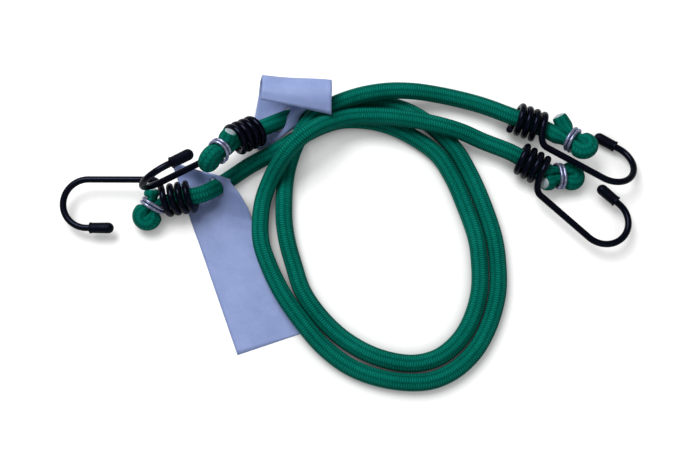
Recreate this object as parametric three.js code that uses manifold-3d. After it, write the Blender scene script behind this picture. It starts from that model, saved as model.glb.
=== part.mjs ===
// A pair of braided elastic cords, laid together in one loose turn.
// Each cord has a coated wire hook wound round both ends, and each end is folded back and clipped.
// A paper tag is threaded on each cord. Millimetres, +Z up, the cords lie on the plane z = 0.
import * as THREE from 'three';
import { mergeVertices } from 'three/addons/utils/BufferGeometryUtils.js';
import Module from 'manifold-3d';

const wasm = await Module();
wasm.setup();

// Cord: a woven sleeve over a rubber core
const cordDiameter = 8;
const sleeveWall = 1;
const workingGap = 0.3;
const cordSides = 8;
const coreGap = 0.6;

// Hook: one wire that is a coil round the cord, a shank and a round bend
const wireDiameter = 3.1;
const coilPlay = 0.75;
const coilTurns = 4;
const coilShortfallShare = 0.2;
const coilPitch = 3.65;
const stepsPerTurn = 16;
const wireSides = 6;
const coilLeadAngle = 50;
const shankLead = 5.1;
const shankOffset = 4.8;
const cornerHandle = 3.4;
const cornerSteps = 5;
const shankLength = 29.3;
const shankSplay = 10.3;
const bendRadius = 11.4;
const bendSteps = 12;
const tipStraight = 1.5;

// Vinyl cap on the wire's end
const capDiameter = 5.1;
const capLength = 11.2;
const capBoreDepth = 8;
const capSides = 12;
const capDomeSteps = 4;

// Wire clip round the folded end
const clipWire = 1.5;
const clipPlay = 0.62;
const clipPitch = 2.05;
const clipTurns = 2;
const clipArcSteps = 8;

// Fold of the cord's end: the clip squeezes both strands, and they swell again on either side of it
const strandGap = 0.4;
const foldRadius = 3.7;
const foldLead = 6;
const foldSweep = 105;
const foldSteps = 6;
const foldEasing = 1;
const clipSqueezeShare = 0.5;
const clipNarrowShare = 0.15;
const foldSqueezeShare = 0.22;
const tailCurveShare = 0.55;

// Tags: the sheet that both are cut from, and the last of the cord's points that pierce it
const tagWidth = 33;
const tagThickness = 0.5;
const tagHolePlay = 0.7;
const tagColumns = 12;
const tagHoleSides = 16;
const tagHolePoints = 22;

// The slab that the table side of the cords is cut with
const slabWidth = 400;
const slabDepth = 20;

const cordRadius = cordDiameter / 2;
const coreRadius = cordRadius - sleeveWall - coreGap;
const wireRadius = wireDiameter / 2;
const coilRadius = cordRadius + coilPlay + wireRadius;
const coilHalf = (coilTurns * coilPitch) / 2;
const coilStart = Math.round(coilShortfallShare * stepsPerTurn);
const strandPitch = cordDiameter * (1 - clipSqueezeShare) + strandGap;
const clipReach = (clipPitch * clipTurns + clipWire) / 2;
const strandReach = strandPitch / 2 + cordRadius * (1 - clipSqueezeShare);
const strandWidth = cordRadius * (1 - clipNarrowShare);
const straightReach = coilHalf + wireRadius + workingGap;

// Where each coil sits on the table: its middle, the way the cord runs out to the hook and the turn of
// the hook about the cord. Then the folded end: how far off it starts to bend away, how it lies from
// there on, and how far along it the clip is and which way up.
const ends = {
  upper_right: {
    at: [84.2, 53.6, 8.5], heading: -21.6, pitch: -3.2, hookRoll: -23.8,
    clipAt: 13.4, tail: 12.6, spread: 4.2, foldYaw: -17, foldPitch: 19, tailRoll: -97,
    foldAt: 9.6, clipRoll: 0,
  },
  lower_right: {
    at: [84.4, 33.1, 8.1], heading: -33.1, pitch: -1.1, hookRoll: -4.7,
    clipAt: 8.3, tail: 9.4, spread: 2, foldYaw: 36, foldPitch: -13, tailRoll: 85,
    foldAt: 7, clipRoll: 180,
  },
  upper_left: {
    at: [-48.8, 45.1, 13.8], heading: 215.3, pitch: 24.8, hookRoll: 81.8,
    clipAt: 11.5, tail: 7.6, spread: 2, foldYaw: 17, foldPitch: 1, tailRoll: 10,
    foldAt: 7, clipRoll: 0,
  },
  lower_left: {
    at: [-78.8, 15.7, 9], heading: 189.7, pitch: -2.4, hookRoll: -7.8,
    clipAt: 3.3, tail: 5.8, spread: 2, foldYaw: 46, foldPitch: -16, tailRoll: 78,
    foldAt: 9.1, clipRoll: 180,
  },
};

// The free run of each cord between its two coils, chosen by eye, one point every 10 mm or so
const routeA = [
  [63.9, 62.9, 6.4], [53, 66.4, 5.8], [41.9, 68.4, 7], [31.1, 68.9, 9.8],
  [20, 68.6, 11.3], [9.5, 67, 12], [0.9, 64.6, 12.2], [-5.7, 61.9, 12.4], [-11.8, 58.9, 12.2],
  [-17.4, 54.4, 11.9], [-21.9, 48.7, 11.8], [-25, 42.9, 10.5], [-27.7, 37.3, 7], [-29.6, 31.6, 4],
  [-30.8, 23.5, 3.2], [-31.1, 14.6, 3.2], [-30.8, 5.8, 3.2], [-29.1, -4.3, 3.2], [-26.2, -14.3, 3.2],
  [-21.5, -27.7, 3.2], [-11.8, -41.1, 3.2], [-0.4, -51, 3.2], [13.3, -57.8, 3.2], [28, -60.4, 3.2],
  [38.8, -58.1, 3.2], [46.1, -53.3, 3.2], [51.9, -46.7, 3.2], [56.6, -37.4, 3.2],
  [59.5, -26.6, 3.2], [60, -14.9, 3.2], [58.8, -1.9, 3.2], [53, 16.6, 3.2], [48.4, 28.1, 3.2],
  [41.7, 39.1, 3.2], [29.5, 48.5, 3.2], [16.9, 54.4, 3.2], [5.8, 56.6, 3.2], [-4.8, 56.4, 3.2],
  [-14.4, 53.3, 3.2], [-22.1, 49.2, 3.2], [-28.7, 45.1, 3.2], [-36.3, 40.3, 3.2],
  [-47.5, 33.8, 3.2], [-57, 26.8, 3.8], [-63.4, 21.4, 6.4],
];
const routeB = [
  [63.2, 44.4, 7.2], [52.2, 48.4, 10], [41, 51.2, 11.8], [30.2, 53.4, 12],
  [19.4, 55, 12], [9.5, 55.4, 12], [0, 54.7, 12.4], [-8, 51.7, 14.8], [-15.4, 47.2, 18.8],
  [-22.1, 41.8, 20.9], [-28, 36.6, 19], [-32.6, 31.6, 14.5], [-37.1, 25.2, 8.5], [-40.6, 16.6, 5.2],
  [-41.9, 5.6, 4.8], [-41.2, -4.5, 4.8], [-37.8, -14.6, 4.9], [-31.2, -28.1, 5], [-22.2, -41.2, 5],
  [-12.1, -52.9, 4], [0, -61.9, 3.2], [13.5, -67, 3.2], [27.8, -68.9, 3.2], [37.6, -67.8, 3.2],
  [47.1, -63.4, 3.2], [55.6, -55.8, 3.2], [61.3, -47.1, 3.2], [65.4, -37.3, 3.2], [68, -26.6, 3.2],
  [68.4, -14.9, 3.2], [67.2, -1.9, 3.2], [61.9, 16.6, 3.2], [56.6, 30, 3.2], [50.8, 41, 3.2],
  [44.1, 49.2, 3.2], [36.6, 56, 3.2], [28, 61.4, 3.2], [18.4, 64.6, 3.2], [7.8, 65.6, 3.2],
  [-2.4, 65.2, 3.2], [-12.1, 63.4, 3.3], [-21.2, 60.2, 4], [-30.4, 56.4, 6.2],
];

const materials = {
  braid: { color: 0x10594e, roughness: 0.85, metalness: 0 },
  core: { color: 0x8d989c, roughness: 0.9, metalness: 0 },
  hook: { color: 0x11141d, roughness: 0.35, metalness: 0.1 },
  cap: { color: 0x13151f, roughness: 0.45, metalness: 0 },
  clip: { color: 0x8d90ad, roughness: 0.3, metalness: 0.9 },
  tag: { color: 0x9aaad7, roughness: 0.8, metalness: 0 },
};
const group = new THREE.Group();

function addMesh(name, geometry, material) {
  const mesh = new THREE.Mesh(geometry, new THREE.MeshStandardMaterial(materials[material]));
  mesh.name = name;
  group.add(mesh);
  return mesh;
}

// Solids from meshes and back
function toSolid(geometry) {
  const bare = geometry.clone();
  for (const name of ['normal', 'uv']) bare.deleteAttribute(name);
  const merged = mergeVertices(bare, 1e-5);
  const vertProperties = new Float32Array(merged.attributes.position.array);
  return new wasm.Manifold(
    new wasm.Mesh({ numProp: 3, vertProperties, triVerts: new Uint32Array(merged.index.array) }),
  );
}

function toGeometry(solid) {
  const mesh = solid.getMesh();
  const geometry = new THREE.BufferGeometry();
  geometry.setAttribute('position', new THREE.BufferAttribute(mesh.vertProperties, 3));
  geometry.setIndex(new THREE.BufferAttribute(mesh.triVerts, 1));
  return geometry.toNonIndexed();
}

// A route whose points are the places where the tube's sections stand
class StationCurve extends THREE.CatmullRomCurve3 {
  getPointAt(u, target) {
    return this.getPoint(u, target);
  }

  getTangentAt(u, target) {
    return this.getTangent(u, target);
  }
}

// Rings of points round a route. A ring can be squeezed in the plane that the route bends in and
// narrowed across it, as a folded cord is under its clip.
function ringsAlong(stations, radius, sides) {
  const curve = new StationCurve(stations.map(({ point }) => point), false, 'centripetal');
  const { tangents, normals, binormals } = curve.computeFrenetFrames(stations.length - 1, false);
  return stations.map(({ point, plane, squeezeShare, narrowShare }, i) => {
    const ring = [];
    for (let j = 0; j < sides; j++) {
      const angle = (2 * Math.PI * j) / sides;
      const offset = normals[i].clone().multiplyScalar(radius * Math.cos(angle));
      offset.addScaledVector(binormals[i], radius * Math.sin(angle));
      if (plane) {
        const across = plane.clone().cross(tangents[i]).normalize();
        offset.addScaledVector(across, -squeezeShare * offset.dot(across));
        offset.addScaledVector(plane, -narrowShare * offset.dot(plane));
      }
      ring.push(offset.add(point));
    }
    return ring;
  });
}

// Rings joined into one skin: closed by an end face each, or back on to the first ring
function skin(rings, returns) {
  const sides = rings[0].length;
  const positions = rings.flat().flatMap((point) => point.toArray());
  const index = [];
  const spans = returns ? rings.length : rings.length - 1;
  for (let i = 0; i < spans; i++) {
    const next = ((i + 1) % rings.length) * sides;
    for (let j = 0; j < sides; j++) {
      const beside = (j + 1) % sides;
      index.push(i * sides + j, i * sides + beside, next + beside);
      index.push(i * sides + j, next + beside, next + j);
    }
  }
  const last = (rings.length - 1) * sides;
  for (let j = 1; j < sides - 1 && !returns; j++) {
    index.push(0, j + 1, j);
    index.push(last, last + j, last + j + 1);
  }
  const geometry = new THREE.BufferGeometry();
  geometry.setAttribute('position', new THREE.Float32BufferAttribute(positions, 3));
  geometry.setIndex(index);
  return geometry;
}

const freely = (points) => points.map((point) => ({ point }));

function wireAlong(points, radius) {
  return skin(ringsAlong(freely(points), radius, wireSides), false);
}

// Frames: x runs along the cord towards the hook
const radians = THREE.MathUtils.degToRad;

function endFrame(end) {
  const frame = new THREE.Matrix4().makeTranslation(...end.at);
  frame.multiply(new THREE.Matrix4().makeRotationZ(radians(end.heading)));
  frame.multiply(new THREE.Matrix4().makeRotationY(radians(-end.pitch)));
  return frame;
}

function foldFrame(end) {
  const frame = endFrame(end);
  frame.multiply(new THREE.Matrix4().makeTranslation(end.foldAt, 0, 0));
  frame.multiply(new THREE.Matrix4().makeRotationZ(radians(end.foldYaw)));
  frame.multiply(new THREE.Matrix4().makeRotationY(radians(-end.foldPitch)));
  frame.multiply(new THREE.Matrix4().makeRotationX(radians(end.tailRoll)));
  return frame;
}

// The cord's end: cut tail, fold and the straight run through the coil
function endRoute(end) {
  const clip = end.clipAt;
  const middle = strandPitch / 2;
  const halfway = (end.tail + clipReach) / 2;
  const points = [
    [clip - end.tail, strandPitch + end.spread, 0, 0],
    [clip - halfway, strandPitch + end.spread * tailCurveShare, foldSqueezeShare, 0],
    [clip - clipReach, strandPitch, clipSqueezeShare, clipNarrowShare],
    [clip + clipReach, strandPitch, clipSqueezeShare, clipNarrowShare],
  ];
  for (let i = 0; i <= foldSteps; i++) {
    const angle = radians(foldSweep) * (1 - (2 * i) / foldSteps);
    const x = clip + foldLead + foldRadius * Math.cos(angle);
    points.push([x, middle + foldRadius * Math.sin(angle), foldSqueezeShare, 0]);
  }
  points.push([clip + clipReach, 0, clipSqueezeShare, clipNarrowShare]);
  points.push([clip - clipReach, 0, clipSqueezeShare, clipNarrowShare]);
  if (halfway < clip) points.push([clip - halfway, 0, foldSqueezeShare, 0]);
  const fold = foldFrame(end);
  const plane = new THREE.Vector3(0, 1, 0).transformDirection(fold);
  const run = points.map(([x, z, squeezeShare, narrowShare]) => {
    const point = new THREE.Vector3(x, 0, z).applyMatrix4(fold);
    return { point, plane, squeezeShare, narrowShare };
  });
  const frame = endFrame(end);
  // Where the clip sits right at the bend, its own section is the cord's last
  const inCoil = [0, -straightReach];
  if (clip - clipReach > foldEasing) inCoil.unshift(end.foldAt);
  for (const x of inCoil) {
    run.push({ point: new THREE.Vector3(x, 0, 0).applyMatrix4(frame) });
  }
  return run;
}

function cordRoute(start, free, finish) {
  const middle = freely(free.map((point) => new THREE.Vector3(...point)));
  return [...endRoute(start), ...middle, ...endRoute(finish).reverse()];
}

// The table side of a cord is pressed flat
function cutBelow(geometry) {
  const slab = new THREE.BoxGeometry(slabWidth, slabWidth, slabDepth);
  slab.translate(0, 0, -slabDepth / 2);
  return toGeometry(toSolid(geometry).subtract(toSolid(slab)));
}

function makeCord(name, route) {
  const outside = ringsAlong(route, cordRadius, cordSides);
  const inside = ringsAlong(route, cordRadius - sleeveWall, cordSides);
  addMesh(`${name}_braid`, cutBelow(skin([...outside, ...inside.reverse()], true)), 'braid');
  addMesh(`${name}_core`, skin(ringsAlong(route, coreRadius, cordSides), false), 'core');
}

// Hook wire in its own frame: the shank leaves the coil on the -y side
function hookPoints() {
  const points = [];
  const stop = Math.PI - radians(coilLeadAngle);
  const steps = Math.round(coilTurns * stepsPerTurn);
  const onCoil = (i) => {
    const angle = stop - (2 * Math.PI * (steps - i)) / stepsPerTurn;
    const x = -coilHalf + (coilPitch * i) / stepsPerTurn;
    return new THREE.Vector3(x, coilRadius * Math.cos(angle), coilRadius * Math.sin(angle));
  };
  for (let i = coilStart; i < steps; i++) points.push(onCoil(i));
  const out = onCoil(steps);
  const along = onCoil(steps + 1).sub(onCoil(steps - 1)).normalize();
  const splay = radians(shankSplay);
  const shank = new THREE.Vector3(Math.cos(splay), -Math.sin(splay), 0);
  const side = new THREE.Vector3(Math.sin(splay), Math.cos(splay), 0);
  const start = new THREE.Vector3(coilHalf + shankLead, -coilRadius - shankOffset, 0);
  const corner = new THREE.CubicBezierCurve3(
    out,
    out.clone().addScaledVector(along, cornerHandle),
    start.clone().addScaledVector(shank, -cornerHandle),
    start,
  );
  points.push(...corner.getPoints(cornerSteps));
  const bendStart = start.clone().addScaledVector(shank, shankLength);
  points.push(start.clone().lerp(bendStart, 0.5));
  const centre = bendStart.clone().addScaledVector(side, bendRadius);
  for (let i = 0; i <= bendSteps; i++) {
    const angle = (Math.PI * i) / bendSteps;
    const point = centre.clone();
    point.addScaledVector(side, -bendRadius * Math.cos(angle));
    point.addScaledVector(shank, bendRadius * Math.sin(angle));
    points.push(point);
  }
  const mouth = points.at(-1).clone().addScaledVector(shank, -tipStraight);
  const tip = mouth.clone().addScaledVector(shank, -(capBoreDepth - workingGap));
  points.push(mouth, tip);
  return { points, mouth, shank };
}

function capGeometry() {
  const bore = wireRadius + workingGap;
  const radius = capDiameter / 2;
  const profile = [
    new THREE.Vector2(0, capBoreDepth),
    new THREE.Vector2(bore, capBoreDepth),
    new THREE.Vector2(bore, 0),
    new THREE.Vector2(radius, 0),
  ];
  for (let i = 0; i < capDomeSteps; i++) {
    const angle = (Math.PI / 2) * (i / capDomeSteps);
    const y = capLength - radius + radius * Math.sin(angle);
    profile.push(new THREE.Vector2(radius * Math.cos(angle), y));
  }
  profile.push(new THREE.Vector2(0, capLength));
  return new THREE.LatheGeometry(profile, capSides);
}

function makeHook(name, end) {
  const { points, mouth, shank } = hookPoints();
  const frame = endFrame(end).multiply(new THREE.Matrix4().makeRotationX(radians(end.hookRoll)));
  const wire = wireAlong(points, wireRadius);
  addMesh(`hook_wire_${name}`, wire.applyMatrix4(frame), 'hook');
  const cap = capGeometry();
  const turn = new THREE.Quaternion().setFromUnitVectors(
    new THREE.Vector3(0, 1, 0),
    shank.clone().negate(),
  );
  cap.applyQuaternion(turn);
  cap.translate(mouth.x, mouth.y, mouth.z);
  addMesh(`tip_cap_${name}`, cap.applyMatrix4(frame), 'cap');
  return points;
}

// The clip goes round both strands as two turns of an oval
function clipPoints() {
  const radius = strandWidth + clipPlay + clipWire / 2;
  const half = strandReach - strandWidth;
  const oval = [];
  for (const [centre, from] of [[half, 0], [-half, Math.PI]]) {
    for (let i = 0; i <= clipArcSteps; i++) {
      const angle = from + (Math.PI * i) / clipArcSteps;
      oval.push([radius * Math.cos(angle), centre + radius * Math.sin(angle)]);
    }
  }
  const count = oval.length * clipTurns;
  const points = [];
  for (let i = 0; i < count; i++) {
    const [y, z] = oval[i % oval.length];
    const x = clipPitch * (i / oval.length - clipTurns / 2);
    points.push(new THREE.Vector3(x, y, z));
  }
  return points;
}

function makeClip(name, end) {
  const points = clipPoints();
  const frame = foldFrame(end);
  frame.multiply(new THREE.Matrix4().makeTranslation(end.clipAt, 0, strandPitch / 2));
  frame.multiply(new THREE.Matrix4().makeRotationX(radians(end.clipRoll)));
  addMesh(`end_clip_${name}`, wireAlong(points, clipWire / 2).applyMatrix4(frame), 'clip');
  return points;
}

// Least gap between turns that lie side by side, measured on the centreline's points
function leastGap(points, diameter, skip) {
  let least = Infinity;
  for (let i = 0; i < points.length; i++) {
    for (let j = i + skip; j < points.length; j++) {
      least = Math.min(least, points[i].distanceTo(points[j]) - diameter);
    }
  }
  return least.toFixed(2);
}

// Tags: rows of the sheet from the punched end on. Each row is the left and the right point of the
// sheet's lower face, as shares of its width counted from the place where the cord goes through.
const tags = {
  tag_lower: {
    cord: 'cord_a',
    at: [-67, 24, 0],
    riseShares: [0.42, 0.88],
    rowShares: [
      [[-0.53, 0.3, 0.26], [0.34, 0.01, 0.34]],
      [[-0.49, 0.2, 0.07], [0.35, -0.04, 0.33]],
      [[-0.42, 0, 0], [0.47, -0.18, 0.29]],
      [[-0.36, -0.18, 0], [0.58, -0.35, 0.14]],
      [[-0.3, -0.35, 0], [0.63, -0.5, 0.03]],
      [[-0.23, -0.55, 0], [0.7, -0.67, 0]],
      [[-0.12, -0.83, 0], [0.87, -0.9, 0]],
      [[0.15, -1.55, 0], [1.13, -1.42, 0]],
      [[0.48, -2.43, 0], [1.42, -2.11, 0]],
    ],
  },
  tag_upper: {
    cord: 'cord_b',
    at: [-30, 56, 0],
    riseShares: [0.05, 0.8],
    rowShares: [
      [[0.15, -0.15, 0.26], [-0.43, -0.42, 0.03]],
      [[0.21, -0.02, 0.4], [-0.48, -0.25, 0.03]],
      [[0.35, 0.07, 0.52], [-0.52, -0.08, 0.03]],
      [[0.54, 0.19, 0.53], [-0.47, 0.15, 0.09]],
      [[0.6, 0.31, 0.53], [-0.42, 0.38, 0.21]],
      [[0.64, 0.4, 0.58], [-0.39, 0.49, 0.39]],
      [[0.65, 0.39, 0.7], [-0.34, 0.51, 0.61]],
      [[0.66, 0.23, 0.79], [-0.32, 0.33, 0.77]],
      [[0.65, 0.06, 0.76], [-0.33, 0.19, 0.77]],
      [[0.65, -0.11, 0.65], [-0.34, 0.09, 0.71]],
    ],
  },
};

function sheetSolid({ at, riseShares, rowShares }) {
  const hole = new THREE.Vector3(...at);
  const grid = rowShares.map(([left, right]) => {
    const a = new THREE.Vector3(...left).multiplyScalar(tagWidth).add(hole);
    const b = new THREE.Vector3(...right).multiplyScalar(tagWidth).add(hole);
    return Array.from({ length: tagColumns + 1 }, (_, i) => {
      const point = a.clone().lerp(b, i / tagColumns);
      const rise = THREE.MathUtils.smoothstep(i / tagColumns, ...riseShares);
      return point.setZ(THREE.MathUtils.lerp(a.z, b.z, rise));
    });
  });
  const down = rowShares.length;
  const across = tagColumns + 1;
  const positions = [];
  const normalAt = (r, c) => {
    const along = grid[Math.min(r + 1, down - 1)][c].clone().sub(grid[Math.max(r - 1, 0)][c]);
    const over = grid[r][across - 1].clone().sub(grid[r][0]);
    return along.cross(over).normalize();
  };
  for (const layer of [0, 1]) {
    for (let r = 0; r < down; r++) {
      for (let c = 0; c < across; c++) {
        const point = grid[r][c].clone().addScaledVector(normalAt(r, c), layer * tagThickness);
        positions.push(...point.toArray());
      }
    }
  }
  const corner = (layer, r, c) => layer * down * across + r * across + c;
  const index = [];
  const quad = (a, b, c, d) => index.push(a, b, c, a, c, d);
  for (let r = 0; r < down - 1; r++) {
    for (let c = 0; c < across - 1; c++) {
      quad(corner(1, r, c), corner(1, r + 1, c), corner(1, r + 1, c + 1), corner(1, r, c + 1));
      quad(corner(0, r, c), corner(0, r, c + 1), corner(0, r + 1, c + 1), corner(0, r + 1, c));
    }
    quad(corner(0, r, 0), corner(0, r + 1, 0), corner(1, r + 1, 0), corner(1, r, 0));
    const end = across - 1;
    quad(corner(0, r, end), corner(1, r, end), corner(1, r + 1, end), corner(0, r + 1, end));
  }
  for (let c = 0; c < across - 1; c++) {
    quad(corner(0, 0, c), corner(1, 0, c), corner(1, 0, c + 1), corner(0, 0, c + 1));
    const end = down - 1;
    quad(corner(0, end, c), corner(0, end, c + 1), corner(1, end, c + 1), corner(1, end, c));
  }
  const geometry = new THREE.BufferGeometry();
  geometry.setAttribute('position', new THREE.Float32BufferAttribute(positions, 3));
  geometry.setIndex(index);
  return toSolid(geometry);
}

// A tag is cut clear of its cord, which is what makes its hole
function makeTag(name, tag, route) {
  const reach = skin(ringsAlong(route, cordRadius + tagHolePlay, tagHoleSides), false);
  addMesh(name, toGeometry(sheetSolid(tag).subtract(toSolid(reach))), 'tag');
}

const routes = {
  cord_a: cordRoute(ends.upper_right, routeA, ends.lower_left),
  cord_b: cordRoute(ends.lower_right, routeB, ends.upper_left),
};
for (const [name, points] of Object.entries(routes)) makeCord(name, points);
const wound = Object.entries(ends).map(([name, end]) => [makeHook(name, end), makeClip(name, end)]);
for (const [name, tag] of Object.entries(tags)) {
  makeTag(name, tag, routes[tag.cord].slice(-tagHolePoints));
}

const [wire, clip] = wound[0];
const coilPoints = wire.slice(0, coilTurns * stepsPerTurn - coilStart);
console.log('least gap between turns of a coil', leastGap(coilPoints, wireDiameter, stepsPerTurn / 2));
console.log('least gap between turns of a clip', leastGap(clip, clipWire, clipArcSteps));

// The origin is under the middle of everything but the cords
const box = new THREE.Box3();
for (const mesh of group.children) {
  if (!mesh.name.startsWith('cord_')) box.expandByObject(mesh);
}
const middle = box.getCenter(new THREE.Vector3());
for (const mesh of group.children) mesh.geometry.translate(-middle.x, -middle.y, 0);
console.log('origin', middle.x.toFixed(2), middle.y.toFixed(2));

export default group;
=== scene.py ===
import math

import bpy
import numpy as np
from mathutils import Matrix, Vector
from mathutils.geometry import delaunay_2d_cdt


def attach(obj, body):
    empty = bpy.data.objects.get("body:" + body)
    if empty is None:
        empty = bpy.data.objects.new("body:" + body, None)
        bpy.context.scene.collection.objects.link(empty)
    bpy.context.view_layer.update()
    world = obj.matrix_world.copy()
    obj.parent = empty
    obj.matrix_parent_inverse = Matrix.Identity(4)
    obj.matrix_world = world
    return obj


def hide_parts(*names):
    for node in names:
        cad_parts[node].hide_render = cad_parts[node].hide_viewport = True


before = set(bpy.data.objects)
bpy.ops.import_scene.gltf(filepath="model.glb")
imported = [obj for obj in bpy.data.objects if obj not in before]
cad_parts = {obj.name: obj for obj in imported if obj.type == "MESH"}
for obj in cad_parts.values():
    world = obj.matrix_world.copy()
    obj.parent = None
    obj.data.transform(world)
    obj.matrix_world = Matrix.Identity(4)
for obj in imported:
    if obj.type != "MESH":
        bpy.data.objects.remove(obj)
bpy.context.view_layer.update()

# The photograph was taken from above, tipped a little towards the viewer, with a normal lens.
# Lengths below are in millimetres, laid out round the middle of the picture, as the part's are.
MM = 0.001
picture_middle = Vector((0.09, 8.32, 0))
camera = bpy.data.objects.new("camera", bpy.data.cameras.new("camera"))
bpy.context.scene.collection.objects.link(camera)
bpy.context.scene.camera = camera
camera.data.lens = 49.77
camera.data.sensor_width = 36
camera.location = (Vector((0, -116.47, 439.67)) - picture_middle) * MM
camera.rotation_euler = (math.radians(15), 0, 0)
bpy.context.scene.view_settings.view_transform = "Standard"


# The two cords. Each is a sleeve braided from green polyester yarn, pulled over a bundle of
# rubber strands. The ends are folded back on themselves and clipped, and the clip squeezes both
# strands flat.
CORD_RADIUS, SLEEVE_WALL, CORD_SIDES = 4.0, 1.0, 36
COLUMNS, RIB_PITCH, RINGS_PER_RIB = 8, 1.07, 4
RIB_SLANT, RIB_RELIEF, RIB_ROUNDNESS, EDGE_RISE = 0.16, 0.06, 0.7, 1.8
DRAWN_RUN, DRAWN_DEPTH = 32, 0.35
CUT_NARROWING, CUT_RUN = 0.5, 0.7
BORE_REST, BORE_STEP = 6, 12

coil_turns, coil_pitch, wire_radius = 4, 3.65, 1.55
coil_half = coil_turns * coil_pitch / 2
coil_margin, strand_gap = 0.3, 0.4
straight_reach = coil_half + wire_radius + coil_margin
pressed_half = CORD_RADIUS / 2
strand_pitch = 2 * pressed_half + strand_gap
clip_pitch, clip_turns, clip_radius = 1.8, 2, 0.75
clip_reach = (clip_pitch * clip_turns + 2 * clip_radius) / 2
fold_lead, fold_radius, fold_sweep, fold_easing, tail_curve = 6, 3.05, 105, 1, 0.55
# How much of its thickness the cord loses: under the clip, across it, in the fold, at the cut.
clip_squeeze, clip_narrow, fold_squeeze, tail_squeeze = 0.43, 0.15, 0.03, 0.1

# Each end of a cord: where its coil is and how it lies, then the fold, the clip and the tail,
# seen from the coil. coil_start is the share of a turn that the coil lacks where it begins.
ends = {
    "upper_right": dict(
        at=(84.2, 53.6, 8.5), heading=-21.6, pitch=-3.2, hook_roll=-23.8, coil_start=0.19,
        fold_at=9.6, fold_yaw=-17, fold_pitch=19, tail_roll=-97, clip_at=13.4, clip_roll=0,
        tail=12.6, spread=4.2, lift=3,
    ),
    "lower_right": dict(
        at=(84.4, 33.1, 8.1), heading=-33.1, pitch=-1.1, hook_roll=-4.7, coil_start=0.56,
        fold_at=7, fold_yaw=36, fold_pitch=-13, tail_roll=85, clip_at=8.3, clip_roll=180,
        tail=8.3, spread=2, lift=1,
    ),
    "upper_left": dict(
        at=(-48.8, 45.1, 13.8), heading=215.3, pitch=24.8, hook_roll=81.8, coil_start=0.19,
        fold_at=7, fold_yaw=17, fold_pitch=1, tail_roll=10, clip_at=11.5, clip_roll=0,
        tail=7.6, spread=3.8, lift=1.7,
    ),
    "lower_left": dict(
        at=(-78.8, 15.7, 9), heading=189.7, pitch=-2.4, hook_roll=-7.8, coil_start=0.35,
        fold_at=9.1, fold_yaw=46, fold_pitch=-16, tail_roll=78, clip_at=3.3, clip_roll=180,
        tail=5.8, spread=2, lift=0,
    ),
}
# Each cord: its two ends, and the points that its middle passes through between them.
cords = {
    "cord_a": ("upper_right", "lower_left", [
        (63.9, 62.9, 6.4), (53, 66.4, 5.8), (41.9, 68.4, 7), (31.1, 68.9, 9.8), (20, 68.6, 11.3),
        (9.5, 67, 12), (0.9, 64.6, 12.2), (-5.7, 61.9, 12.4), (-11.8, 58.9, 12.2),
        (-17.4, 54.4, 11.9), (-21.9, 48.7, 11.8), (-25, 42.9, 10.5), (-27.7, 37.3, 7),
        (-29.6, 31.6, 4), (-30.8, 23.5, 3.2), (-31.1, 14.6, 3.2), (-30.8, 5.8, 3.2),
        (-29.1, -4.3, 3.2), (-26.2, -14.3, 3.2), (-21.5, -27.7, 3.2), (-11.8, -41.1, 3.2),
        (-0.4, -51, 3.2), (13.3, -57.8, 3.2), (28, -60.4, 3.2), (38.8, -58.1, 3.2),
        (46.1, -53.3, 3.2), (51.9, -46.7, 3.2), (56.6, -37.4, 3.2), (59.5, -26.6, 3.2),
        (60, -14.9, 3.2), (58.8, -1.9, 3.2), (53, 16.6, 3.2), (48.4, 28.1, 3.2), (41.7, 39.1, 3.2),
        (29.5, 48.5, 3.2), (16.9, 54.4, 3.2), (5.8, 56.6, 3.2), (-4.8, 56.4, 3.2),
        (-14.4, 53.3, 3.2), (-22.1, 49.2, 3.2), (-28.7, 45.1, 3.2), (-36.3, 40.3, 3.2),
        (-47.5, 33.8, 3.2), (-57, 26.8, 3.8), (-63.4, 21.4, 6.4),
    ]),
    "cord_b": ("lower_right", "upper_left", [
        (63.2, 44.4, 7.2), (52.2, 48.4, 10), (41, 51.2, 11.8), (30.2, 53.4, 12), (19.4, 55, 12),
        (9.5, 55.4, 12), (0, 54.7, 12.4), (-8, 51.7, 14.8), (-15.4, 47.2, 18.8),
        (-22.1, 41.8, 20.9), (-28, 36.6, 19), (-32.6, 31.6, 14.5), (-37.1, 25.2, 8.5),
        (-40.6, 16.6, 5.2), (-41.9, 5.6, 4.8), (-41.2, -4.5, 4.8), (-37.8, -14.6, 4.9),
        (-31.2, -28.1, 5), (-22.2, -41.2, 5), (-12.1, -52.9, 4), (0, -61.9, 3.2), (13.5, -67, 3.2),
        (27.8, -68.9, 3.2), (37.6, -67.8, 3.2), (47.1, -63.4, 3.2), (55.6, -55.8, 3.2),
        (61.3, -47.1, 3.2), (65.4, -37.3, 3.2), (68, -26.6, 3.2), (68.4, -14.9, 3.2),
        (67.2, -1.9, 3.2), (61.9, 16.6, 3.2), (56.6, 30, 3.2), (50.8, 41, 3.2), (44.1, 49.2, 3.2),
        (36.6, 56, 3.2), (28, 61.4, 3.2), (18.4, 64.6, 3.2), (7.8, 65.6, 3.2), (-2.4, 65.2, 3.2),
        (-12.1, 63.4, 3.3), (-21.2, 60.2, 4), (-30.4, 56.4, 6.2),
    ]),
}


def turned(degrees, axis):
    return Matrix.Rotation(math.radians(degrees), 4, axis)


def coil_frame(end):
    """The middle of a coil, with x along the cord and out of the loop."""
    place = Matrix.Translation(Vector(end["at"]) - picture_middle)
    return place @ turned(end["heading"], "Z") @ turned(-end["pitch"], "Y")


def hook_frame(end):
    return coil_frame(end) @ turned(end["hook_roll"], "X")


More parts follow.
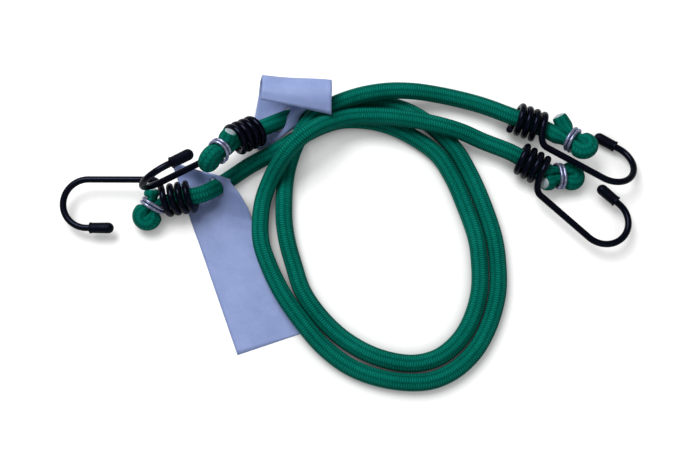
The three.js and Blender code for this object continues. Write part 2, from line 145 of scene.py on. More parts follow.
def fold_frame(end):
    """The start of a fold, with x along both strands and z from one strand to the other."""
    out = Matrix.Translation((end["fold_at"], 0, 0))
    lean = turned(end["fold_yaw"], "Z") @ turned(-end["fold_pitch"], "Y")
    return coil_frame(end) @ out @ lean @ turned(end["tail_roll"], "X")


def folded_end(end):
    """Stations from the cut tail to the far side of the coil: point, squeeze, narrowing, plane."""
    clip, half = end["clip_at"], (end["tail"] + clip_reach) / 2
    under_clip, beside = (clip_squeeze, clip_narrow), (fold_squeeze, 0)
    run = [
        (clip - end["tail"], strand_pitch + end["spread"], (tail_squeeze, tail_squeeze)),
        (clip - half, strand_pitch + end["spread"] * tail_curve, beside),
        (clip - clip_reach, strand_pitch, under_clip),
        (clip + clip_reach, strand_pitch, under_clip),
    ]
    for i in range(7):
        angle = math.radians(fold_sweep) * (1 - i / 3)
        x = clip + fold_lead + fold_radius * math.cos(angle)
        run.append((x, strand_pitch / 2 + fold_radius * math.sin(angle), beside))
    run += [(clip + clip_reach, 0, under_clip), (clip - clip_reach, 0, under_clip)]
    if half < clip:
        run.append((clip - half, 0, beside))
    fold = fold_frame(end)
    plane = fold.to_3x3() @ Vector((0, 1, 0))
    stations = [(fold @ Vector((x, 0, z)), *share, plane) for x, z, share in run]
    stations[0][0].z += end["lift"]
    eased = (end["fold_at"],) if clip - clip_reach > fold_easing else ()
    for x in (*eased, 0, -straight_reach):
        stations.append((coil_frame(end) @ Vector((x, 0, 0)), 0, 0, Vector()))
    return stations


def smooth_line(points, spacing, shares):
    """A soft curve through the points, cut into even steps, with the shares carried along it."""
    points, shares = np.array(points, float), np.array(shares, float)
    ghost = [2 * points[0] - points[1], *points, 2 * points[-1] - points[-2]]
    fine, carried = [], []
    for i in range(len(points) - 1):
        p0, p1, p2, p3 = ghost[i : i + 4]
        d0, d1, d2 = (np.linalg.norm(b - a) ** 0.5 for a, b in ((p0, p1), (p1, p2), (p2, p3)))
        m1 = ((p1 - p0) / d0 - (p2 - p0) / (d0 + d1) + (p2 - p1) / d1) * d1
        m2 = ((p2 - p1) / d1 - (p3 - p1) / (d1 + d2) + (p3 - p2) / d2) * d1
        t = np.linspace(0, 1, 40, endpoint=i == len(points) - 2)[:, None]
        cubic = (2 * t**3 - 3 * t**2 + 1) * p1 + (t**3 - 2 * t**2 + t) * m1
        fine.append(cubic + (3 * t**2 - 2 * t**3) * p2 + (t**3 - t**2) * m2)
        blend = t * t * (3 - 2 * t)
        carried.append(shares[i] * (1 - blend) + shares[i + 1] * blend)
    fine, carried = np.vstack(fine), np.vstack(carried)
    run = np.concatenate([[0], np.cumsum(np.linalg.norm(np.diff(fine, axis=0), axis=1))])
    even = np.linspace(0, run[-1], max(2, round(run[-1] / spacing) + 1))
    line = np.stack([np.interp(even, run, fine[:, k]) for k in range(3)], 1)
    along = np.stack([np.interp(even, run, carried[:, k]) for k in range(carried.shape[1])], 1)
    return line, even, along


def frames_along(line):
    """A direction and two cross directions for each point, carried along without twist."""
    ahead = np.gradient(line, axis=0)
    ahead /= np.linalg.norm(ahead, axis=1)[:, None]
    mostly_up = (0.31, 0.17, 0.94)
    side = np.cross(ahead[0], mostly_up)
    sides = []
    for direction in ahead:
        side = side - direction * side.dot(direction)
        side /= np.linalg.norm(side)
        sides.append(side)
    sides = np.array(sides)
    return ahead, sides, np.cross(ahead, sides)


def tube(name, rings, caps=False, closed=False):
    """A mesh of rings of points, joined in order; every ring has as many points."""
    count, sides = rings.shape[:2]
    start = np.arange(count if closed else count - 1)[:, None] * sides
    after = (start + sides) % (count * sides)
    at, beside = np.arange(sides), (np.arange(sides) + 1) % sides
    quads = np.stack([start + at, start + beside, after + beside, after + at], -1)
    faces = quads.reshape(-1, 4).tolist()
    if caps:
        faces += [list(range(sides))[::-1], list(range((count - 1) * sides, count * sides))]
    mesh = bpy.data.meshes.new(name)
    mesh.from_pydata((rings.reshape(-1, 3) * MM).tolist(), [], faces)
    mesh.shade_smooth()
    piece = bpy.data.objects.new(name, mesh)
    bpy.context.scene.collection.objects.link(piece)
    return piece


def squeezed_rings(line, plane_shares, radii, angles):
    """Rings round a line, each flattened as its clip and fold flatten it."""
    ahead, side, up = frames_along(line)
    squeeze, narrow, plane = plane_shares[:, :1], plane_shares[:, 1:2], plane_shares[:, 2:]
    length = np.linalg.norm(plane, axis=1)[:, None]
    plane = plane / np.maximum(length, 1e-6)
    across = np.cross(plane, ahead)
    across /= np.maximum(np.linalg.norm(across, axis=1)[:, None], 1e-6)
    rings = side[:, None] * np.cos(angles)[..., None] + up[:, None] * np.sin(angles)[..., None]
    rings = rings * radii[..., None]
    for direction, share in ((across, squeeze), (plane, narrow)):
        lie = np.einsum("ijk,ik->ij", rings, direction)
        rings = rings - direction[:, None] * (share * lie)[..., None]
    return rings + line[:, None]


def rib_depth(along, whole):
    """How deep the ribs are, 0 to 1: near both ends the folds draw the braid flat."""
    from_cut = np.minimum(along, whole - along)
    return DRAWN_DEPTH + (1 - DRAWN_DEPTH) * np.clip(from_cut / DRAWN_RUN - 0.5, 0, 1)


def rib_height(along, angle):
    """How high the braid stands, 0 to 1: slanted floats of yarn, turning at each column."""
    column = angle * COLUMNS / (2 * np.pi)
    zigzag = 1 - np.abs(np.mod(column, 2) - 1)
    phase = along / RIB_PITCH + RIB_SLANT * zigzag + 0.5 * np.floor(column)
    rib = (0.5 + 0.5 * np.cos(2 * np.pi * phase)) ** RIB_ROUNDNESS
    return rib * (0.65 + 0.35 * np.minimum(1, EDGE_RISE * np.abs(np.sin(np.pi * column))))


class Signal:
    """A value in a material. Sums and products of signals become nodes of the material."""

    def __init__(self, tree, socket):
        self.tree, self.socket = tree, socket

    def node(self, kind, settings=(), sockets=(), output=0):
        made = self.tree.nodes.new("ShaderNode" + kind)
        for name, value in dict(settings).items():
            setattr(made, name, value)
        for name, value in dict(sockets).items():
            if isinstance(value, Signal):
                self.tree.links.new(value.socket, made.inputs[name])
            else:
                made.inputs[name].default_value = value
        return Signal(self.tree, made.outputs[output])

    def math(self, operation, *others):
        values = dict(enumerate((self, *others)))
        return self.node("Math", {"operation": operation}, values)

    def __add__(self, other):
        return self.math("ADD", other)

    def __sub__(self, other):
        return self.math("SUBTRACT", other)

    def __mul__(self, other):
        return self.math("MULTIPLY", other)

    def __truediv__(self, other):
        return self.math("DIVIDE", other)

    def __pow__(self, other):
        return self.math("POWER", other)


def paint(red, green, blue):
    """A colour as it is read off the photograph, 0 to 255, as the shader wants it."""
    channels = (value / 255 for value in (red, green, blue))
    return (*(c / 12.92 if c < 0.04045 else ((c + 0.055) / 1.055) ** 2.4 for c in channels), 1)


def finish_for(name, roughness, **constants):
    """A new material: its surface shader, and its object coordinates to build on."""
    material = bpy.data.materials.new(name)
    material.use_nodes = True
    surface = material.node_tree.nodes["Principled BSDF"]
    surface.inputs["Roughness"].default_value = roughness
    for socket, value in constants.items():
        surface.inputs[socket.replace("_", " ")].default_value = value
    place = material.node_tree.nodes.new("ShaderNodeTexCoord").outputs["Object"]
    return material, surface, Signal(material.node_tree, place)


def speckle(place, scale, detail=2.0, roughness=0.5):
    """Soft random spots, the finer the higher the scale."""
    sockets = {"Vector": place, "Scale": scale, "Detail": detail, "Roughness": roughness}
    return place.node("TexNoise", {}, sockets)


def shades(value, *stops):
    """Colours from low to high values, evenly blended; a stop is a position and a colour."""
    ramp = value.node("ValToRGB", {}, {"Fac": value})
    elements = ramp.socket.node.color_ramp.elements
    while len(elements) < len(stops):
        elements.new(0.5)
    for element, (position, colour) in zip(elements, stops):
        element.position, element.color = position, colour
    return ramp


def give(signal, surface, socket):
    """Feeds a signal to one socket of a surface."""
    signal.tree.links.new(signal.socket, surface.inputs[socket])


def relief(surface, height, distance, strength):
    """Small bumps on a surface, raised where the height is high."""
    sockets = {"Height": height, "Distance": distance, "Strength": strength}
    give(height.node("Bump", {}, sockets), surface, "Normal")


braid, surface, place = finish_for("braided_yarn", 0.8, Specular_IOR_Level=0.1,
                                   Specular_Tint=(0.02, 1, 0.85, 1))
weave = place.node("Attribute", {"attribute_name": "weave"}, {}, "Vector")
split = weave.node("SeparateXYZ", {}, {"Vector": weave})
run, cosine, sine = (Signal(weave.tree, split.socket.node.outputs[i]) for i in range(3))
wander = speckle(place, 260.0, 1.0)
column = sine.math("ARCTAN2", cosine) * (COLUMNS / (2 * math.pi))
phase = run / RIB_PITCH + column.math("PINGPONG", 1.0) * RIB_SLANT + column.math("FLOOR") * 0.5
phase = phase + (wander - 0.5) * 0.5
rib = ((phase * (2 * math.pi)).math("COSINE") * 0.5 + 0.5).math("MAXIMUM", 0.0) ** RIB_ROUNDNESS
band = (column * math.pi).math("SINE").math("ABSOLUTE")
edge = (band * EDGE_RISE).math("MINIMUM", 1.0)
filament = (phase * (8 * math.pi)).math("COSINE") * 0.5 + 0.5
depth = place.node("Attribute", {"attribute_name": "rib_depth"}, {}, "Fac")
ribbed = rib * (edge * 0.3 + 0.7) + filament * 0.14
height = (ribbed - 0.5) * depth + 0.5 + (speckle(place, 2600.0) - 0.5) * 0.3
# Painted shade and sheen, in part: the grooves between the ribs and the lines between the columns
# are painted darker, and the crowns of the columns lighter, as painted lengthwise sheen. The
# speckles are the yarn's own uneven tone.
tone_with_painted_shade_and_sheen = height * 0.36 + speckle(place, 55.0) * 0.3 + speckle(place, 900.0) * 0.26
tone_with_painted_shade_and_sheen = tone_with_painted_shade_and_sheen + band * 0.2 - 0.04
give(shades(tone_with_painted_shade_and_sheen, (0.2, paint(0, 40, 33)), (0.5, paint(2, 88, 75)),
            (0.75, paint(8, 114, 99)), (1.0, paint(22, 140, 123))), surface, "Base Color")
give(height * -0.15 + 0.85, surface, "Roughness")
relief(surface, height, 0.00014, 0.7)

braids = {}
for name, (first, last, free) in cords.items():
    run_of_cord = folded_end(ends[first])
    run_of_cord += [(Vector(p) - picture_middle, 0, 0, Vector()) for p in free]
    run_of_cord += folded_end(ends[last])[::-1]
    centres = [point for point, *_ in run_of_cord]
    shares = [(squeeze, narrow, *plane) for _, squeeze, narrow, plane in run_of_cord]
    line, along, shares = smooth_line(centres, RIB_PITCH / RINGS_PER_RIB, shares)
    angle = np.broadcast_to(np.linspace(0, 2 * np.pi, CORD_SIDES, endpoint=False),
                            (len(line), CORD_SIDES))
    from_cut = np.minimum(along, along[-1] - along)[:, None]
    height = rib_height(along[:, None], angle) * rib_depth(along, along[-1])[:, None]
    radii = CORD_RADIUS - RIB_RELIEF * (1 - height)
    radii = radii - CUT_NARROWING * np.exp(-from_cut / CUT_RUN)
    outside = squeezed_rings(line, shares, radii, angle)
    bore = np.r_[0, np.arange(BORE_REST, len(line) - BORE_REST, BORE_STEP), len(line) - 1]
    inner = squeezed_rings(line, shares, np.full_like(radii, CORD_RADIUS - SLEEVE_WALL), angle)
    rings = np.vstack([outside, inner[bore[::-1]]])
    rings[..., 2] = np.maximum(rings[..., 2], 0)
    piece = tube(f"{name}_sleeve", rings, closed=True)
    runs = np.concatenate([along, along[bore[::-1]]])
    depths = np.repeat(rib_depth(runs, along[-1]), CORD_SIDES)
    woven = np.stack([np.repeat(runs, CORD_SIDES), np.tile(np.cos(angle[0]), len(runs)),
                      np.tile(np.sin(angle[0]), len(runs))], 1)
    piece.data.attributes.new("weave", "FLOAT_VECTOR", "POINT")
    piece.data.attributes["weave"].data.foreach_set("vector", woven.ravel())
    piece.data.attributes.new("rib_depth", "FLOAT", "POINT")
    piece.data.attributes["rib_depth"].data.foreach_set("value", depths)
    piece.data.materials.append(braid)
    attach(piece, "cords")
    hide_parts(f"{name}_braid")
    braids[name] = (piece, line, along, shares)


# The core of each cord is a bundle of fine rubber strands. It fills the sleeve and only shows
# where the tail is cut, as a pale, faintly cloudy round.
CORE_RADIUS, CORE_SIDES, CORE_STEP = 2.9, 24, 10
DOME_RUN, DOME_STAND = 0.3, 0.7
core_finish, surface, place = finish_for("rubber_core", 0.6, Subsurface_Weight=0.15)
strands = place.node("TexVoronoi", {"feature": "F1"}, {"Vector": place, "Scale": 1500.0})
cloud = speckle(place, 500.0, 3.0)
give(shades(cloud * 0.8 + strands * 0.3, (0.25, paint(120, 134, 140)), (0.5, paint(158, 170, 176)),
            (0.85, paint(196, 203, 206))), surface, "Base Color")
relief(surface, strands * -1.0, 0.0002, 0.8)
for name, (sleeve, line, along, shares) in braids.items():
    keep = np.r_[0, np.arange(BORE_REST, len(line) - BORE_REST, CORE_STEP), len(line) - 1]
    angle = np.broadcast_to(np.linspace(0, 2 * np.pi, CORE_SIDES, endpoint=False),
                            (len(keep), CORE_SIDES))
    bundle = squeezed_rings(line[keep], shares[keep], np.full(angle.shape, CORE_RADIUS), angle)
    ahead = frames_along(line)[0]
    domes = []
    for end, way in ((0, -1), (-1, 1)):
        out, rim = way * ahead[end], bundle[end]
        middle = line[end] + out * DOME_RUN
        dome = [rim + (middle - rim) * (1 - math.cos(t)) + out * DOME_STAND * math.sin(t)
                for t in np.linspace(0.25, 1.35, 5)]
        domes.append(np.array(dome))
    rings = np.vstack([domes[0][::-1], bundle, domes[1]])
    piece = tube(f"{name}_rubber", rings, caps=True)
    piece.data.materials.append(core_finish)
    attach(piece, "cords")
    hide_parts(f"{name}_core")
    path = line[:: RINGS_PER_RIB * 2] * MM


# The hooks. Each is one steel wire, coated in black, wound in four turns round the cord and run
# out as a straight shank into a round bend. The clip beyond the coil keeps it on the cord.
coil_play = 0.75
coil_radius = CORD_RADIUS + coil_play + wire_radius
shank_lead, shank_offset, corner_handle = 5.1, 4.8, 3.4
shank_length, shank_splay, bend_radius, tip_straight = 29.3, 10.3, 11.4, 1.5
cap_depth, coil_lead = 8, 50
coil_steps, corner_steps, bend_steps = 48, 14, 36


def wire_line_tree():
    """Sweeps a round wire along the edges it is given, with its two cut ends eased."""
    tree = bpy.data.node_groups.new("wire_along_line", "GeometryNodeTree")
    for name, kind, way in (
        ("Line", "NodeSocketGeometry", "INPUT"), ("Radius", "NodeSocketFloat", "INPUT"),
        ("Sides", "NodeSocketInt", "INPUT"), ("Easing", "NodeSocketFloat", "INPUT"),
        ("Finish", "NodeSocketMaterial", "INPUT"), ("Wire", "NodeSocketGeometry", "OUTPUT"),
    ):
        tree.interface.new_socket(name, in_out=way, socket_type=kind)

    def add(kind, settings=(), sockets=()):
        made = tree.nodes.new(kind)
        for name, value in dict(settings).items():
            setattr(made, name, value)
        for name, value in dict(sockets).items():
            if hasattr(value, "is_linked"):
                tree.links.new(value, made.inputs[name])
            else:
                made.inputs[name].default_value = value
        return made

    given = add("NodeGroupInput").outputs
    curve = add("GeometryNodeMeshToCurve", {}, {"Mesh": given["Line"]}).outputs[0]
    step = add("GeometryNodeSplineParameter").outputs["Length"]
    whole = add("GeometryNodeSplineLength").outputs["Length"]
    rest = add("ShaderNodeMath", {"operation": "SUBTRACT"}, {0: whole, 1: step}).outputs[0]
    nearest = add("ShaderNodeMath", {"operation": "MINIMUM"}, {0: step, 1: rest}).outputs[0]
    eased = add("ShaderNodeMapRange", {"interpolation_type": "SMOOTHERSTEP"},
                {"Value": nearest, "From Max": given["Easing"], "To Min": 0.72})
    ring = add("GeometryNodeCurvePrimitiveCircle", {},
               {"Resolution": given["Sides"], "Radius": given["Radius"]})
    body = add("GeometryNodeCurveToMesh", {}, {
        "Curve": curve, "Profile Curve": ring.outputs["Curve"], "Scale": eased.outputs[0],
        "Fill Caps": True,
    })
    soft = add("GeometryNodeSetShadeSmooth", {}, {"Geometry": body.outputs[0]})
    real = add("GeometryNodeRealizeInstances", {}, {"Geometry": soft.outputs[0]})
    coated = add("GeometryNodeSetMaterial", {},
                 {"Geometry": real.outputs[0], "Material": given["Finish"]})
    add("NodeGroupOutput", {}, {"Wire": coated.outputs[0]})
    return tree


def settled(piece):
    """The piece with what its modifier makes as its own plain mesh."""
    shown = piece.evaluated_get(bpy.context.evaluated_depsgraph_get())
    made = bpy.data.meshes.new_from_object(shown)
    piece.modifiers.clear()
    piece.data = made
    return piece


def wire_piece(name, points, radius, sides, easing, finish):
    """A wire as a plain mesh, from the tree above."""
    mesh = bpy.data.meshes.new(name)
    mesh.from_pydata([tuple(Vector(p) * MM) for p in points],
                     [(i, i + 1) for i in range(len(points) - 1)], [])
    piece = bpy.data.objects.new(name, mesh)
    bpy.context.scene.collection.objects.link(piece)
    modifier = piece.modifiers.new("wire", "NODES")
    modifier.node_group = wire_tree
    values = {"Radius": radius * MM, "Sides": sides, "Easing": easing * MM, "Finish": finish}
    for item in wire_tree.interface.items_tree:
        if item.in_out == "INPUT" and item.name in values:
            modifier[item.identifier] = values[item.name]
    return settled(piece)


def hook_line(coil_start):
    """The wire's line, the cap's mouth and the shank's direction, with the coil along x."""
    stop, count = math.pi - math.radians(coil_lead), coil_turns * coil_steps

    def on_coil(i):
        angle = stop - 2 * math.pi * (count - i) / coil_steps
        return Vector((-coil_half + coil_pitch * i / coil_steps,
                       coil_radius * math.cos(angle), coil_radius * math.sin(angle)))

    first = math.ceil(coil_start * coil_steps)
    turns = np.r_[first + np.array((0, 0.25, 0.5, 1, 1.5)), np.arange(first + 2, count)]
    points = [on_coil(i) for i in turns]
    out, along = on_coil(count), (on_coil(count + 1) - on_coil(count - 1)).normalized()
    splay = math.radians(shank_splay)
    shank = Vector((math.cos(splay), -math.sin(splay), 0))
    side = Vector((math.sin(splay), math.cos(splay), 0))
    start = Vector((coil_half + shank_lead, -coil_radius - shank_offset, 0))
    corner = out, out + along * corner_handle, start - shank * corner_handle, start
    for i in range(corner_steps + 1):
        t = i / corner_steps
        weights = (1 - t) ** 3, 3 * t * (1 - t) ** 2, 3 * t * t * (1 - t), t**3
        points.append(sum((p * w for p, w in zip(corner, weights)), Vector()))
    bend_start = start + shank * shank_length
    points += [start.lerp(bend_start, t) for t in (0.1, 0.5, 0.9)]
    centre = bend_start + side * bend_radius
    for i in range(bend_steps + 1):
        angle = math.pi * i / bend_steps
        points.append(centre - side * bend_radius * math.cos(angle)
                      + shank * bend_radius * math.sin(angle))
    mouth = points[-1] - shank * tip_straight
    for step in (0, 0.5, cap_depth - 0.9, cap_depth - 0.6, cap_depth - 0.3):
        points.append(mouth - shank * step)
    return points, mouth, shank


coated, surface, place = finish_for("coated_wire", 0.25, Specular_IOR_Level=0.15,
                                    Specular_Tint=(0.5, 0.62, 1, 1))
dust = speckle(place, 700.0, 4.0)
give(shades(dust, (0.35, paint(2, 3, 11)), (0.75, paint(5, 7, 19))), surface, "Base Color")
give(speckle(place, 240.0, 3.0) * 0.14 + 0.15, surface, "Roughness")
relief(surface, speckle(place, 420.0, 3.0) + speckle(place, 2400.0) * 0.15, 0.00012, 0.5)

wire_tree = wire_line_tree()
for name, end in ends.items():
    line_of_hook, mouth, shank = hook_line(end["coil_start"])
    points = [hook_frame(end) @ p for p in line_of_hook]
    piece = wire_piece(f"hook_{name}", points, wire_radius, sides=24, easing=0.5, finish=coated)
    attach(piece, f"hook_{name}")
    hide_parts(f"hook_wire_{name}")


# A soft black cap is pushed over each hook's tip, so that it doesn't scratch what it holds.
# It is dip moulded, with a rolled lip, a thick round nose and a faint seam down its sides.
CAP_RADIUS, CAP_LENGTH, CAP_BORE = 2.55, 11.2, 1.85
CAP_SIDES, SEAM_HEIGHT, SEAM_WIDTH = 40, 0.05, 0.12
vinyl, surface, place = finish_for("dipped_vinyl", 0.4, Specular_IOR_Level=0.12,
                                   Specular_Tint=(0.5, 0.62, 1, 1))
give(shades(speckle(place, 500.0, 4.0), (0.35, paint(2, 3, 11)), (0.8, paint(6, 8, 20))),
     surface, "Base Color")
give(speckle(place, 300.0, 3.0) * 0.3 + 0.32, surface, "Roughness")
relief(surface, speckle(place, 900.0, 3.0), 0.0001, 0.45)

# The cap's outline: radius and height, from its mouth over the lip and up to its nose.
profile = [(CAP_BORE, 0.25), (CAP_BORE + 0.12, 0.05), (CAP_RADIUS - 0.3, 0), (CAP_RADIUS, 0.12),
           (CAP_RADIUS + 0.1, 0.4), (CAP_RADIUS + 0.08, 0.75), (CAP_RADIUS - 0.08, 1.05),
           (CAP_RADIUS - 0.1, 1.5)]
profile += [(CAP_RADIUS - 0.1 + 0.1 * t, 1.5 + t * (CAP_LENGTH - CAP_RADIUS - 1.5))
            for t in (0.25, 0.5, 0.75, 1)]
profile += [(CAP_RADIUS * math.cos(t), CAP_LENGTH - CAP_RADIUS * (1 - math.sin(t)))
            for t in np.linspace(0.2, 1.45, 8)]
profile += [(0.05, CAP_LENGTH)]
bore = [(0.05, cap_depth), (CAP_BORE - 0.2, cap_depth), (CAP_BORE, cap_depth - 0.3), (CAP_BORE, 4)]
along_tip = Vector((0, 0, 1)).rotation_difference(-shank).to_matrix().to_4x4()
turn = np.linspace(0, 2 * np.pi, CAP_SIDES, endpoint=False)
seam = SEAM_HEIGHT * np.exp(-((np.sin(turn) / SEAM_WIDTH) ** 2))
for name, end in ends.items():
    at_tip = hook_frame(end) @ Matrix.Translation(mouth) @ along_tip
    rings = []
    for radius, height in [*bore, *profile]:
        reach = radius + seam * ((radius, height) in profile[4:-1])
        rings.append([tuple(at_tip @ Vector((x, y, height)))
                      for x, y in zip(reach * np.cos(turn), reach * np.sin(turn))])
    piece = tube(f"cap_{name}", np.array(rings), caps=True)
    piece.data.materials.append(vinyl)
    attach(piece, f"hook_{name}")
    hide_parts(f"tip_cap_{name}")


# The clips. Each is a length of galvanised wire, bent twice round both strands of the folded end
# and closed hard on them, with its two cut ends left on opposite edges.
clip_play, oval_steps = 0.58, 24
zinc, surface, place = finish_for("galvanised_wire", 0.35, Metallic=0.85)
spangle = place.node("TexVoronoi", {"feature": "F1"}, {"Vector": place, "Scale": 900.0})
give(shades(spangle * 0.6 + speckle(place, 400.0, 3.0) * 0.6, (0.2, paint(104, 109, 140)),
            (0.55, paint(146, 152, 186)), (0.9, paint(188, 194, 218))), surface, "Base Color")
give(speckle(place, 600.0, 3.0) * 0.35 + 0.2, surface, "Roughness")
relief(surface, speckle(place, 1500.0, 3.0), 0.0001, 0.4)

half_width = CORD_RADIUS * (1 - clip_narrow)
oval_radius = half_width + clip_play + clip_radius
oval_half = strand_pitch / 2 + pressed_half - half_width
oval = []
for centre, start in ((oval_half, 0), (-oval_half, math.pi)):
    for i in range(oval_steps + 1):
        angle = start + math.pi * i / oval_steps
        oval.append((oval_radius * math.cos(angle), centre + oval_radius * math.sin(angle)))
line_of_clip = [
    Vector((clip_pitch * (i / len(oval) - clip_turns / 2), *oval[i % len(oval)]))
    for i in range(len(oval) * clip_turns)
]
for name, end in ends.items():
    at_clip = fold_frame(end) @ Matrix.Translation((end["clip_at"], 0, strand_pitch / 2))
    at_clip = at_clip @ turned(end["clip_roll"], "X")
    points = [at_clip @ p for p in line_of_clip]
    piece = wire_piece(f"clip_{name}", points, clip_radius, sides=16, easing=0.2, finish=zinc)
    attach(piece, "cords")
    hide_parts(f"end_clip_{name}")


# The tags are cut from thin pale card. Each is punched near one end and threaded on its cord.
# The lower one lies under the loop, and the upper one is folded up and over.
TAG_WIDTH, CARD_THICKNESS, SPACING, EDGE_STEP = 33, 0.28, 1.5, 0.5
HOLE_PLAY, WIDEST_HOLE, RIM_SIDES, RIM_CLEAR, RIM_SHARE = 0.3, 12, 56, 0.6, 0.985

# A row is one line across the sheet: its left and its right edge, counted in widths of the tag.
# rise is the stretch of the width in which the sheet climbs from one edge's height to the other's.
tags = {
    "tag_lower": dict(cord="cord_a", at=(-67, 24, 0), rise=(0.42, 0.88), flat=(0.033, 0.09), rows=[
        ((-0.53, 0.3, 0.26), (0.34, 0.01, 0.34)), ((-0.49, 0.2, 0.07), (0.35, -0.04, 0.33)),
        ((-0.42, 0, 0), (0.47, -0.18, 0.29)), ((-0.36, -0.18, 0), (0.58, -0.35, 0.14)),
        ((-0.3, -0.35, 0), (0.63, -0.5, 0.03)), ((-0.23, -0.55, 0), (0.7, -0.67, 0)),
        ((-0.12, -0.83, 0), (0.87, -0.9, 0)), ((0.15, -1.55, 0), (1.13, -1.42, 0)),
        ((0.48, -2.43, 0), (1.42, -2.11, 0)),
    ]),
    "tag_upper": dict(cord="cord_b", at=(-30, 56, 0), rise=(0.05, 0.8), flat=(0.033, 0.055), rows=[
        ((0.15, -0.15, 0.26), (-0.43, -0.42, 0.03)), ((0.21, -0.02, 0.4), (-0.48, -0.25, 0.03)),
        ((0.35, 0.07, 0.52), (-0.52, -0.08, 0.03)), ((0.54, 0.19, 0.53), (-0.47, 0.15, 0.09)),
        ((0.6, 0.31, 0.53), (-0.42, 0.38, 0.21)), ((0.64, 0.4, 0.58), (-0.39, 0.49, 0.39)),
        ((0.65, 0.39, 0.7), (-0.34, 0.51, 0.61)), ((0.66, 0.23, 0.79), (-0.32, 0.33, 0.77)),
        ((0.65, 0.06, 0.76), (-0.33, 0.19, 0.77)), ((0.65, -0.11, 0.65), (-0.34, 0.09, 0.71)),
    ]),
}


def tag_surface(tag):
    """Where a place on the flat sheet, across and along, lies once the sheet is bent."""
    shift = np.array(Vector(tag["at"]) - picture_middle)
    lefts, rights = (np.array([row[k] for row in tag["rows"]], float) * TAG_WIDTH + shift
                     for k in (0, 1))
    left, _, right = smooth_line(lefts, EDGE_STEP, rights)
    middle = (left + right) / 2
    run = np.concatenate([[0], np.cumsum(np.linalg.norm(np.diff(middle, axis=0), axis=1))])

    def at(across, along):
        a, b = (np.stack([np.interp(along, run, edge[:, k]) for k in range(3)], -1)
                for edge in (left, right))
        share = (across / TAG_WIDTH)[..., None]
        point = a * (1 - share) + b * share
        low, high = tag["rise"]
        rise = np.clip((share[..., 0] - low) / (high - low), 0, 1)
        rise = rise * rise * (3 - 2 * rise)
        point[..., 2] = a[..., 2] * (1 - rise) + b[..., 2] * rise
        return point

    return at, run[-1]


def punched_sheet(name, tag, cord_line):
    """The flat cut, with a hole where the cord goes through it, carried on to the bent sheet."""
    at, length = tag_surface(tag)

    def off_cord(across, along):
        point = at(np.array([across]), np.array([along]))[0]
        return np.linalg.norm(cord_line - point, axis=1).min()

    grid_u, grid_v = np.meshgrid(np.linspace(1, TAG_WIDTH - 1, 32), np.linspace(1, length - 1, 80))
    spots = at(grid_u.ravel(), grid_v.ravel())
    gaps = np.linalg.norm(spots[:, None] - cord_line[None, ::8], axis=2).min(1)
    nearest = gaps.argmin()
    hole = np.array([grid_u.ravel()[nearest], grid_v.ravel()[nearest]])
    rim = []
    for turn in np.linspace(0, 2 * np.pi, RIM_SIDES, endpoint=False):
        way, reach = np.array([np.cos(turn), np.sin(turn)]), 1.0
        while reach < WIDEST_HOLE and off_cord(*(hole + way * reach)) < CORD_RADIUS + HOLE_PLAY:
            reach += 0.1
        rim.append(hole + way * reach)
    rim = np.array(rim)
    edge_u = np.linspace(0, TAG_WIDTH, round(TAG_WIDTH / SPACING) + 1)
    edge_v = np.linspace(0, length, round(length / SPACING))
    inner = np.array([(u, v) for v in edge_v[1:-1] for u in edge_u[1:-1]])
    clear = np.linalg.norm(inner[:, None] - rim[None], axis=2).min(1) > RIM_CLEAR
    reaches = np.linalg.norm(rim - hole, axis=1)
    reaches = np.append(reaches, reaches[0])

    def outside_rim(spots, share=1.0):
        bearing = np.arctan2(*(spots - hole).T[::-1]) % (2 * np.pi)
        limit = np.interp(bearing, np.linspace(0, 2 * np.pi, RIM_SIDES + 1), reaches)
        return np.linalg.norm(spots - hole, axis=1) > limit * share

    inner = inner[clear & outside_rim(inner)]
    outline = [(u, 0) for u in edge_u[:-1]] + [(TAG_WIDTH, v) for v in edge_v[:-1]]
    outline += [(u, length) for u in edge_u[:0:-1]] + [(0, v) for v in edge_v[:0:-1]]
    flat = [Vector(map(float, p)) for p in [*outline, *rim, *inner]]
    n, m = len(outline), len(rim)
    loop = [(i, (i + 1) % n) for i in range(n)] + [(n + i, n + (i + 1) % m) for i in range(m)]
    points, _, faces, *_ = delaunay_2d_cdt(flat, loop, [], 0, 1e-5)
    points = np.array([tuple(p) for p in points])
    middles = np.array([points[list(face)].mean(0) for face in faces])
    kept = [face for face, out in zip(faces, outside_rim(middles, RIM_SHARE)) if out]
    mesh = bpy.data.meshes.new(name)
    mesh.from_pydata((at(points[:, 0], points[:, 1]) * MM).tolist(), [], kept)
    laid = mesh.attributes.new("card", "FLOAT_VECTOR", "POINT")
    laid.data.foreach_set("vector", np.c_[points, np.zeros(len(points))].astype(float).ravel())
    mesh.shade_smooth()
    piece = bpy.data.objects.new(name, mesh)
    bpy.context.scene.collection.objects.link(piece)
    return piece


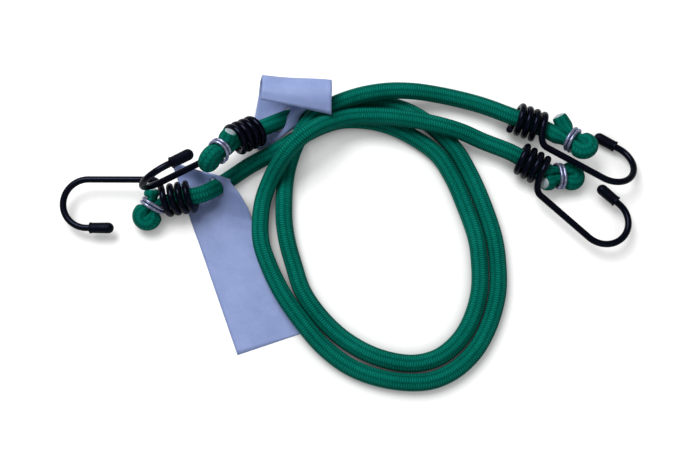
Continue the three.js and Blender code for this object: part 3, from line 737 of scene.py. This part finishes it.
card, surface, place = finish_for("pale_card", 0.62)
laid = place.node("Attribute", {"attribute_name": "card"}, {}, "Vector")
soft_blotch = speckle(laid, 0.09, 3.0, 0.6)
fleck = speckle(laid, 1.6, 2.0)
spots = (fleck - 0.72).math("MAXIMUM", 0.0) * 3.0
give(shades(soft_blotch * 0.8 + speckle(laid, 0.8, 3.0) * 0.2 - spots,
            (0.2, paint(128, 147, 198)), (0.5, paint(141, 159, 210)), (0.8, paint(154, 170, 221))),
     surface, "Base Color")
relief(surface, speckle(laid, 0.12, 2.0) + speckle(laid, 4.0, 2.0) * 0.03, 0.0012, 0.35)

for name, tag in tags.items():
    piece = punched_sheet(f"{name}_card", tag, braids[tag["cord"]][1])
    thick = piece.modifiers.new("card", "SOLIDIFY")
    thick.thickness, thick.offset = CARD_THICKNESS * MM, 0
    settled(piece).data.materials.append(card)
    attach(piece, "cords")
    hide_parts(name)
    "laid" if name == "tag_lower" else "folded"


# The table is plain and white, and keeps the soft grey shadows that the cords and hooks throw.
# Close round and under them, its colour and its white glow are darkened as painted shade.
# A broad lamp hangs above the far side of the table, and a paler one fills in from the front.
# Round them all is a room that is white to look at and lends the pieces a quarter of that light.
half = 3
corners = [(-half, -half, 0), (half, -half, 0), (half, half, 0), (-half, half, 0)]
floor = bpy.data.objects.new("floor", bpy.data.meshes.new("floor"))
floor.data.from_pydata(corners, [], [(0, 1, 2, 3)])
bpy.context.scene.collection.objects.link(floor)
sheet_finish, surface, place = finish_for("white_table", 0.9, Specular_IOR_Level=0.1)
rays = place.node("LightPath", {}, {}, "Is Camera Ray")
# Painted shade: how open the table is to the room. The colour and the glow are darkened where the
# pieces crowd over it.
openness_for_painted_shade = place.node("AmbientOcclusion", {"samples": 12}, {"Distance": 0.008}, "AO")
give(openness_for_painted_shade ** 0.6 * 0.82, surface, "Base Color")
surface.inputs["Emission Strength"].default_value = 1
give(rays * openness_for_painted_shade * 0.42, surface, "Emission Color")
floor.data.materials.append(sheet_finish)

for name, size, power, at in (
    ("broad lamp", 0.55, 6.6, (-0.28, 0.36, 0.75)),
    ("front fill", 0.9, 0.9, (0.35, -0.6, 0.7)),
):
    lamp = bpy.data.objects.new(name, bpy.data.lights.new(name, "AREA"))
    lamp.data.shape, lamp.data.size, lamp.data.energy = "DISK", size, power
    lamp.location = at
    lamp.rotation_euler = (-Vector(at)).to_track_quat("-Z", "Y").to_euler()
    bpy.context.scene.collection.objects.link(lamp)
world = bpy.data.worlds.new("studio")
bpy.context.scene.world = world
world.use_nodes = True
sky = world.node_tree.nodes["Background"]
rays = Signal(world.node_tree, world.node_tree.nodes.new("ShaderNodeLightPath").outputs[0])
give(rays * 0.76 + 0.24, sky, "Strength")
sky.inputs["Color"].default_value = (1, 1, 1, 1)
